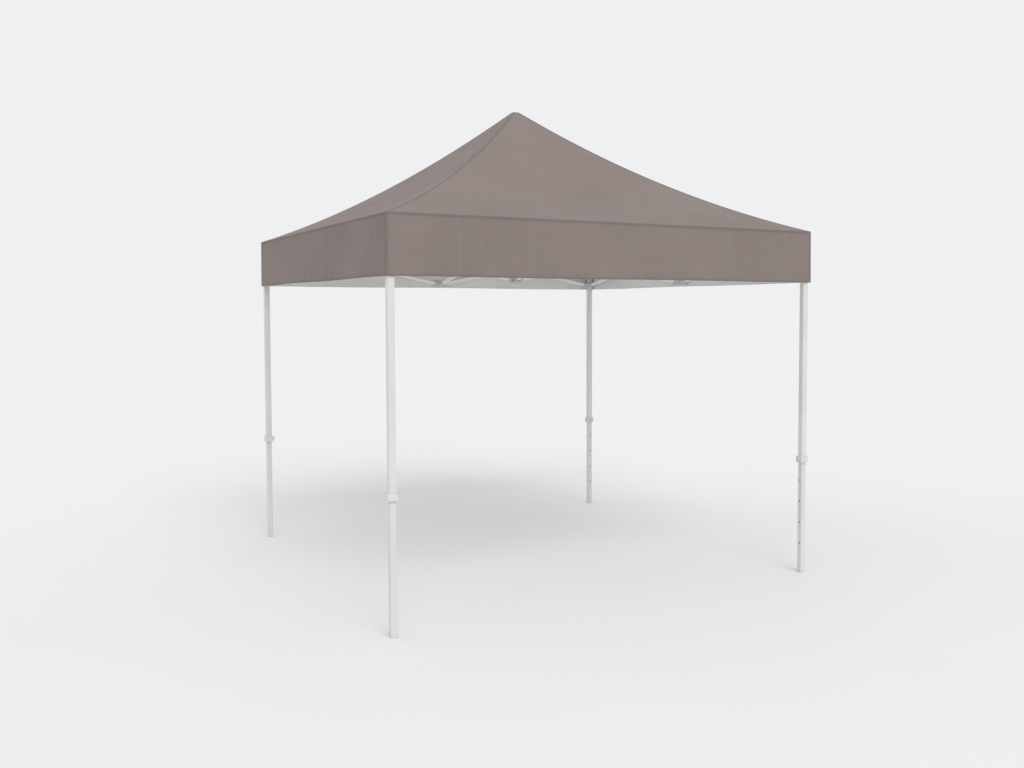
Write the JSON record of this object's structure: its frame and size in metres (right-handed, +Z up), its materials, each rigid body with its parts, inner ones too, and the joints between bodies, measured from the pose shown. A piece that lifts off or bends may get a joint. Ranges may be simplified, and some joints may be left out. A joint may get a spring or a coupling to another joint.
{
  "type": "pop up gazebo",
  "caption": "Square pop-up gazebo with a peaked fabric canopy and valance on a folding scissor-truss frame with telescopic legs.",
  "frame": {"origin": "on the floor, in the middle of the footprint", "axes": "+Z up, +X and +Y along the sides of the square footprint"},
  "size_m": [3.002, 3.002, 3.247],
  "materials": {
    "canopy_cloth": "matt coated polyester weave",
    "frame_tube": "white powder coat, satin",
    "fitting": "moulded, fine texture",
    "knob": "moulded, satin"
  },
  "bodies": {
    "hub_upper": {"hub_upper": "fitting", "canopy": "canopy_cloth"},
    "hub_lower": {"hub_lower": "fitting", "centre_pole": "frame_tube"},
    "arm_1_high": {"arm_1_high": "frame_tube"},
    "arm_1_low": {"arm_1_low": "frame_tube"},
    "upper_mid_1": {"upper_mid_1": "fitting"},
    "lower_mid_1": {"lower_mid_1": "fitting"},
    "side_1_high_a": {"side_1_high_a": "frame_tube"},
    "side_1_low_a": {"side_1_low_a": "frame_tube"},
    "side_1_high_b": {"side_1_high_b": "frame_tube"},
    "side_1_low_b": {"side_1_low_b": "frame_tube"},
    "leg_1": {"outer_leg_1": "frame_tube", "collar_1": "fitting"},
    "slider_1": {"slider_1": "fitting"},
    "arm_2_high": {"arm_2_high": "frame_tube"},
    "arm_2_low": {"arm_2_low": "frame_tube"},
    "upper_mid_2": {"upper_mid_2": "fitting"},
    "lower_mid_2": {"lower_mid_2": "fitting"},
    "side_2_high_a": {"side_2_high_a": "frame_tube"},
    "side_2_low_a": {"side_2_low_a": "frame_tube"},
    "side_2_high_b": {"side_2_high_b": "frame_tube"},
    "side_2_low_b": {"side_2_low_b": "frame_tube"},
    "leg_2": {"outer_leg_2": "frame_tube", "collar_2": "fitting"},
    "slider_2": {"slider_2": "fitting"},
    "arm_3_high": {"arm_3_high": "frame_tube"},
    "arm_3_low": {"arm_3_low": "frame_tube"},
    "upper_mid_3": {"upper_mid_3": "fitting"},
    "lower_mid_3": {"lower_mid_3": "fitting"},
    "side_3_high_a": {"side_3_high_a": "frame_tube"},
    "side_3_low_a": {"side_3_low_a": "frame_tube"},
    "side_3_high_b": {"side_3_high_b": "frame_tube"},
    "side_3_low_b": {"side_3_low_b": "frame_tube"},
    "leg_3": {"outer_leg_3": "frame_tube", "collar_3": "fitting"},
    "slider_3": {"slider_3": "fitting"},
    "arm_4_high": {"arm_4_high": "frame_tube"},
    "arm_4_low": {"arm_4_low": "frame_tube"},
    "upper_mid_4": {"upper_mid_4": "fitting"},
    "lower_mid_4": {"lower_mid_4": "fitting"},
    "side_4_high_a": {"side_4_high_a": "frame_tube"},
    "side_4_low_a": {"side_4_low_a": "frame_tube"},
    "side_4_high_b": {"side_4_high_b": "frame_tube"},
    "side_4_low_b": {"side_4_low_b": "frame_tube"},
    "leg_4": {"outer_leg_4": "frame_tube", "collar_4": "fitting"},
    "slider_4": {"slider_4": "fitting"},
    "inner_leg_1": {"inner_leg_1": "frame_tube"},
    "height_button_1": {"height_button_1": "knob"},
    "lock_pin_1": {"lock_pin_1": "knob"},
    "inner_leg_2": {"inner_leg_2": "frame_tube"},
    "height_button_2": {"height_button_2": "knob"},
    "lock_pin_2": {"lock_pin_2": "knob"},
    "inner_leg_3": {"inner_leg_3": "frame_tube"},
    "height_button_3": {"height_button_3": "knob"},
    "lock_pin_3": {"lock_pin_3": "knob"},
    "inner_leg_4": {"inner_leg_4": "frame_tube"},
    "height_button_4": {"height_button_4": "knob"},
    "lock_pin_4": {"lock_pin_4": "knob"}
  },
  "joints": [
    {"name": "fold", "type": "hinge", "parent": "hub_upper", "child": "arm_1_high", "pos_m": [0.04, 0, 2.3], "axis": [0, 1, 0], "range_deg": [0, 74], "deforming": ["canopy"]},
    {"name": "fold_lower_mid_1", "type": "hinge", "parent": "arm_1_high", "child": "lower_mid_1", "pos_m": [1.424, 0, 2.035], "axis": [0, 1, 0], "range_deg": [-74, 0]},
    {"name": "fold_arm_1_low", "type": "hinge", "parent": "arm_1_high", "child": "arm_1_low", "pos_m": [0.732, 0, 2.1675], "axis": [0, 1, 0], "range_deg": [-148, 0]},
    {"name": "fold_upper_mid_1", "type": "hinge", "parent": "arm_1_low", "child": "upper_mid_1", "pos_m": [1.424, 0, 2.3], "axis": [0, 1, 0], "range_deg": [0, 74]},
    {"name": "fold_hub_lower", "type": "hinge", "parent": "arm_1_low", "child": "hub_lower", "pos_m": [0.04, 0, 2.035], "axis": [0, 1, 0], "range_deg": [0, 74]},
    {"name": "fold_side_1_high_a", "type": "hinge", "parent": "lower_mid_1", "child": "side_1_high_a", "pos_m": [1.47, -0.042, 2.035], "axis": [1, 0, 0], "range_deg": [-74, 0]},
    {"name": "fold_side_1_low_a", "type": "hinge", "parent": "side_1_high_a", "child": "side_1_low_a", "pos_m": [1.47, -0.734, 2.1675], "axis": [1, 0, 0], "range_deg": [0, 148]},
    {"name": "fold_side_1_high_b", "type": "hinge", "parent": "lower_mid_1", "child": "side_1_high_b", "pos_m": [1.47, 0.042, 2.035], "axis": [1, 0, 0], "range_deg": [0, 74]},
    {"name": "fold_side_1_low_b", "type": "hinge", "parent": "side_1_high_b", "child": "side_1_low_b", "pos_m": [1.47, 0.734, 2.1675], "axis": [1, 0, 0], "range_deg": [-148, 0]},
    {"name": "fold_leg_1", "type": "hinge", "parent": "side_1_high_a", "child": "leg_1", "pos_m": [1.47, -1.426, 2.3], "axis": [1, 0, 0], "range_deg": [0, 74]},
    {"name": "fold_slider_1", "type": "hinge", "parent": "side_1_low_a", "child": "slider_1", "pos_m": [1.47, -1.426, 2.035], "axis": [1, 0, 0], "range_deg": [-74, 0]},
    {"name": "fold_arm_2_high", "type": "hinge", "parent": "hub_upper", "child": "arm_2_high", "pos_m": [0, 0.04, 2.3], "axis": [-1, 0, 0], "range_deg": [0, 74]},
    {"name": "fold_lower_mid_2", "type": "hinge", "parent": "arm_2_high", "child": "lower_mid_2", "pos_m": [0, 1.424, 2.035], "axis": [-1, 0, 0], "range_deg": [-74, 0]},
    {"name": "fold_arm_2_low", "type": "hinge", "parent": "arm_2_high", "child": "arm_2_low", "pos_m": [0, 0.732, 2.1675], "axis": [-1, 0, 0], "range_deg": [-148, 0]},
    {"name": "fold_upper_mid_2", "type": "hinge", "parent": "arm_2_low", "child": "upper_mid_2", "pos_m": [0, 1.424, 2.3], "axis": [-1, 0, 0], "range_deg": [0, 74]},
    {"name": "fold_side_2_high_a", "type": "hinge", "parent": "lower_mid_2", "child": "side_2_high_a", "pos_m": [0.042, 1.47, 2.035], "axis": [0, 1, 0], "range_deg": [-74, 0]},
    {"name": "fold_side_2_low_a", "type": "hinge", "parent": "side_2_high_a", "child": "side_2_low_a", "pos_m": [0.734, 1.47, 2.1675], "axis": [0, 1, 0], "range_deg": [0, 148]},
    {"name": "fold_side_2_high_b", "type": "hinge", "parent": "lower_mid_2", "child": "side_2_high_b", "pos_m": [-0.042, 1.47, 2.035], "axis": [0, 1, 0], "range_deg": [0, 74]},
    {"name": "fold_side_2_low_b", "type": "hinge", "parent": "side_2_high_b", "child": "side_2_low_b", "pos_m": [-0.734, 1.47, 2.1675], "axis": [0, 1, 0], "range_deg": [-148, 0]},
    {"name": "fold_leg_2", "type": "hinge", "parent": "side_2_high_a", "child": "leg_2", "pos_m": [1.426, 1.47, 2.3], "axis": [0, 1, 0], "range_deg": [0, 74]},
    {"name": "fold_slider_2", "type": "hinge", "parent": "side_2_low_a", "child": "slider_2", "pos_m": [1.426, 1.47, 2.035], "axis": [0, 1, 0], "range_deg": [-74, 0]},
    {"name": "fold_arm_3_high", "type": "hinge", "parent": "hub_upper", "child": "arm_3_high", "pos_m": [-0.04, 0, 2.3], "axis": [0, -1, 0], "range_deg": [0, 74]},
    {"name": "fold_lower_mid_3", "type": "hinge", "parent": "arm_3_high", "child": "lower_mid_3", "pos_m": [-1.424, 0, 2.035], "axis": [0, -1, 0], "range_deg": [-74, 0]},
    {"name": "fold_arm_3_low", "type": "hinge", "parent": "arm_3_high", "child": "arm_3_low", "pos_m": [-0.732, 0, 2.1675], "axis": [0, -1, 0], "range_deg": [-148, 0]},
    {"name": "fold_upper_mid_3", "type": "hinge", "parent": "arm_3_low", "child": "upper_mid_3", "pos_m": [-1.424, 0, 2.3], "axis": [0, -1, 0], "range_deg": [0, 74]},
    {"name": "fold_side_3_high_a", "type": "hinge", "parent": "lower_mid_3", "child": "side_3_high_a", "pos_m": [-1.47, 0.042, 2.035], "axis": [-1, 0, 0], "range_deg": [-74, 0]},
    {"name": "fold_side_3_low_a", "type": "hinge", "parent": "side_3_high_a", "child": "side_3_low_a", "pos_m": [-1.47, 0.734, 2.1675], "axis": [-1, 0, 0], "range_deg": [0, 148]},
    {"name": "fold_side_3_high_b", "type": "hinge", "parent": "lower_mid_3", "child": "side_3_high_b", "pos_m": [-1.47, -0.042, 2.035], "axis": [-1, 0, 0], "range_deg": [0, 74]},
    {"name": "fold_side_3_low_b", "type": "hinge", "parent": "side_3_high_b", "child": "side_3_low_b", "pos_m": [-1.47, -0.734, 2.1675], "axis": [-1, 0, 0], "range_deg": [-148, 0]},
    {"name": "fold_leg_3", "type": "hinge", "parent": "side_3_high_a", "child": "leg_3", "pos_m": [-1.47, 1.426, 2.3], "axis": [-1, 0, 0], "range_deg": [0, 74]},
    {"name": "fold_slider_3", "type": "hinge", "parent": "side_3_low_a", "child": "slider_3", "pos_m": [-1.47, 1.426, 2.035], "axis": [-1, 0, 0], "range_deg": [-74, 0]},
    {"name": "fold_arm_4_high", "type": "hinge", "parent": "hub_upper", "child": "arm_4_high", "pos_m": [0, -0.04, 2.3], "axis": [1, 0, 0], "range_deg": [0, 74]},
    {"name": "fold_lower_mid_4", "type": "hinge", "parent": "arm_4_high", "child": "lower_mid_4", "pos_m": [0, -1.424, 2.035], "axis": [1, 0, 0], "range_deg": [-74, 0]},
    {"name": "fold_arm_4_low", "type": "hinge", "parent": "arm_4_high", "child": "arm_4_low", "pos_m": [0, -0.732, 2.1675], "axis": [1, 0, 0], "range_deg": [-148, 0]},
    {"name": "fold_upper_mid_4", "type": "hinge", "parent": "arm_4_low", "child": "upper_mid_4", "pos_m": [0, -1.424, 2.3], "axis": [1, 0, 0], "range_deg": [0, 74]},
    {"name": "fold_side_4_high_a", "type": "hinge", "parent": "lower_mid_4", "child": "side_4_high_a", "pos_m": [-0.042, -1.47, 2.035], "axis": [0, -1, 0], "range_deg": [-74, 0]},
    {"name": "fold_side_4_low_a", "type": "hinge", "parent": "side_4_high_a", "child": "side_4_low_a", "pos_m": [-0.734, -1.47, 2.1675], "axis": [0, -1, 0], "range_deg": [0, 148]},
    {"name": "fold_side_4_high_b", "type": "hinge", "parent": "lower_mid_4", "child": "side_4_high_b", "pos_m": [0.042, -1.47, 2.035], "axis": [0, -1, 0], "range_deg": [0, 74]},
    {"name": "fold_side_4_low_b", "type": "hinge", "parent": "side_4_high_b", "child": "side_4_low_b", "pos_m": [0.734, -1.47, 2.1675], "axis": [0, -1, 0], "range_deg": [-148, 0]},
    {"name": "fold_leg_4", "type": "hinge", "parent": "side_4_high_a", "child": "leg_4", "pos_m": [-1.426, -1.47, 2.3], "axis": [0, -1, 0], "range_deg": [0, 74]},
    {"name": "fold_slider_4", "type": "hinge", "parent": "side_4_low_a", "child": "slider_4", "pos_m": [-1.426, -1.47, 2.035], "axis": [0, -1, 0], "range_deg": [-74, 0]},
    {"name": "leg_1_height", "type": "slide", "parent": "leg_1", "child": "inner_leg_1", "axis": [0, 0, 1], "range_m": [0, 0.58]},
    {"name": "leg_1_button", "type": "slide", "parent": "leg_1", "child": "height_button_1", "axis": [-1, 0, 0], "range_m": [0, 0.006], "stiffness_N_per_m": 600, "springref_m": -0.001},
    {"name": "slider_1_lock", "type": "slide", "parent": "slider_1", "child": "lock_pin_1", "axis": [0, 1, 0], "range_m": [0, 0.005], "stiffness_N_per_m": 600, "springref_m": -0.001},
    {"name": "leg_2_height", "type": "slide", "parent": "leg_2", "child": "inner_leg_2", "axis": [0, 0, 1], "range_m": [0, 0.58]},
    {"name": "leg_2_button", "type": "slide", "parent": "leg_2", "child": "height_button_2", "axis": [0, -1, 0], "range_m": [0, 0.006], "stiffness_N_per_m": 600, "springref_m": -0.001},
    {"name": "slider_2_lock", "type": "slide", "parent": "slider_2", "child": "lock_pin_2", "axis": [-1, 0, 0], "range_m": [0, 0.005], "stiffness_N_per_m": 600, "springref_m": -0.001},
    {"name": "leg_3_height", "type": "slide", "parent": "leg_3", "child": "inner_leg_3", "axis": [0, 0, 1], "range_m": [0, 0.58]},
    {"name": "leg_3_button", "type": "slide", "parent": "leg_3", "child": "height_button_3", "axis": [1, 0, 0], "range_m": [0, 0.006], "stiffness_N_per_m": 600, "springref_m": -0.001},
    {"name": "slider_3_lock", "type": "slide", "parent": "slider_3", "child": "lock_pin_3", "axis": [0, -1, 0], "range_m": [0, 0.005], "stiffness_N_per_m": 600, "springref_m": -0.001},
    {"name": "leg_4_height", "type": "slide", "parent": "leg_4", "child": "inner_leg_4", "axis": [0, 0, 1], "range_m": [0, 0.58]},
    {"name": "leg_4_button", "type": "slide", "parent": "leg_4", "child": "height_button_4", "axis": [0, 1, 0], "range_m": [0, 0.006], "stiffness_N_per_m": 600, "springref_m": -0.001},
    {"name": "slider_4_lock", "type": "slide", "parent": "slider_4", "child": "lock_pin_4", "axis": [1, 0, 0], "range_m": [0, 0.005], "stiffness_N_per_m": 600, "springref_m": -0.001}
  ],
  "couplings": [
    {"joint": "fold_lower_mid_1", "follows": "fold", "ratio": -1},
    {"joint": "fold_arm_1_low", "follows": "fold", "ratio": -2},
    {"joint": "fold_upper_mid_1", "follows": "fold", "ratio": 1},
    {"joint": "fold_hub_lower", "follows": "fold", "ratio": 1},
    {"joint": "fold_side_1_high_a", "follows": "fold", "ratio": -1},
    {"joint": "fold_side_1_low_a", "follows": "fold", "ratio": 2},
    {"joint": "fold_side_1_high_b", "follows": "fold", "ratio": 1},
    {"joint": "fold_side_1_low_b", "follows": "fold", "ratio": -2},
    {"joint": "fold_leg_1", "follows": "fold", "ratio": 1},
    {"joint": "fold_slider_1", "follows": "fold", "ratio": -1},
    {"joint": "fold_arm_2_high", "follows": "fold", "ratio": 1},
    {"joint": "fold_lower_mid_2", "follows": "fold", "ratio": -1},
    {"joint": "fold_arm_2_low", "follows": "fold", "ratio": -2},
    {"joint": "fold_upper_mid_2", "follows": "fold", "ratio": 1},
    {"joint": "fold_side_2_high_a", "follows": "fold", "ratio": -1},
    {"joint": "fold_side_2_low_a", "follows": "fold", "ratio": 2},
    {"joint": "fold_side_2_high_b", "follows": "fold", "ratio": 1},
    {"joint": "fold_side_2_low_b", "follows": "fold", "ratio": -2},
    {"joint": "fold_leg_2", "follows": "fold", "ratio": 1},
    {"joint": "fold_slider_2", "follows": "fold", "ratio": -1},
    {"joint": "fold_arm_3_high", "follows": "fold", "ratio": 1},
    {"joint": "fold_lower_mid_3", "follows": "fold", "ratio": -1},
    {"joint": "fold_arm_3_low", "follows": "fold", "ratio": -2},
    {"joint": "fold_upper_mid_3", "follows": "fold", "ratio": 1},
    {"joint": "fold_side_3_high_a", "follows": "fold", "ratio": -1},
    {"joint": "fold_side_3_low_a", "follows": "fold", "ratio": 2},
    {"joint": "fold_side_3_high_b", "follows": "fold", "ratio": 1},
    {"joint": "fold_side_3_low_b", "follows": "fold", "ratio": -2},
    {"joint": "fold_leg_3", "follows": "fold", "ratio": 1},
    {"joint": "fold_slider_3", "follows": "fold", "ratio": -1},
    {"joint": "fold_arm_4_high", "follows": "fold", "ratio": 1},
    {"joint": "fold_lower_mid_4", "follows": "fold", "ratio": -1},
    {"joint": "fold_arm_4_low", "follows": "fold", "ratio": -2},
    {"joint": "fold_upper_mid_4", "follows": "fold", "ratio": 1},
    {"joint": "fold_side_4_high_a", "follows": "fold", "ratio": -1},
    {"joint": "fold_side_4_low_a", "follows": "fold", "ratio": 2},
    {"joint": "fold_side_4_high_b", "follows": "fold", "ratio": 1},
    {"joint": "fold_side_4_low_b", "follows": "fold", "ratio": -2},
    {"joint": "fold_leg_4", "follows": "fold", "ratio": 1},
    {"joint": "fold_slider_4", "follows": "fold", "ratio": -1}
  ]
}
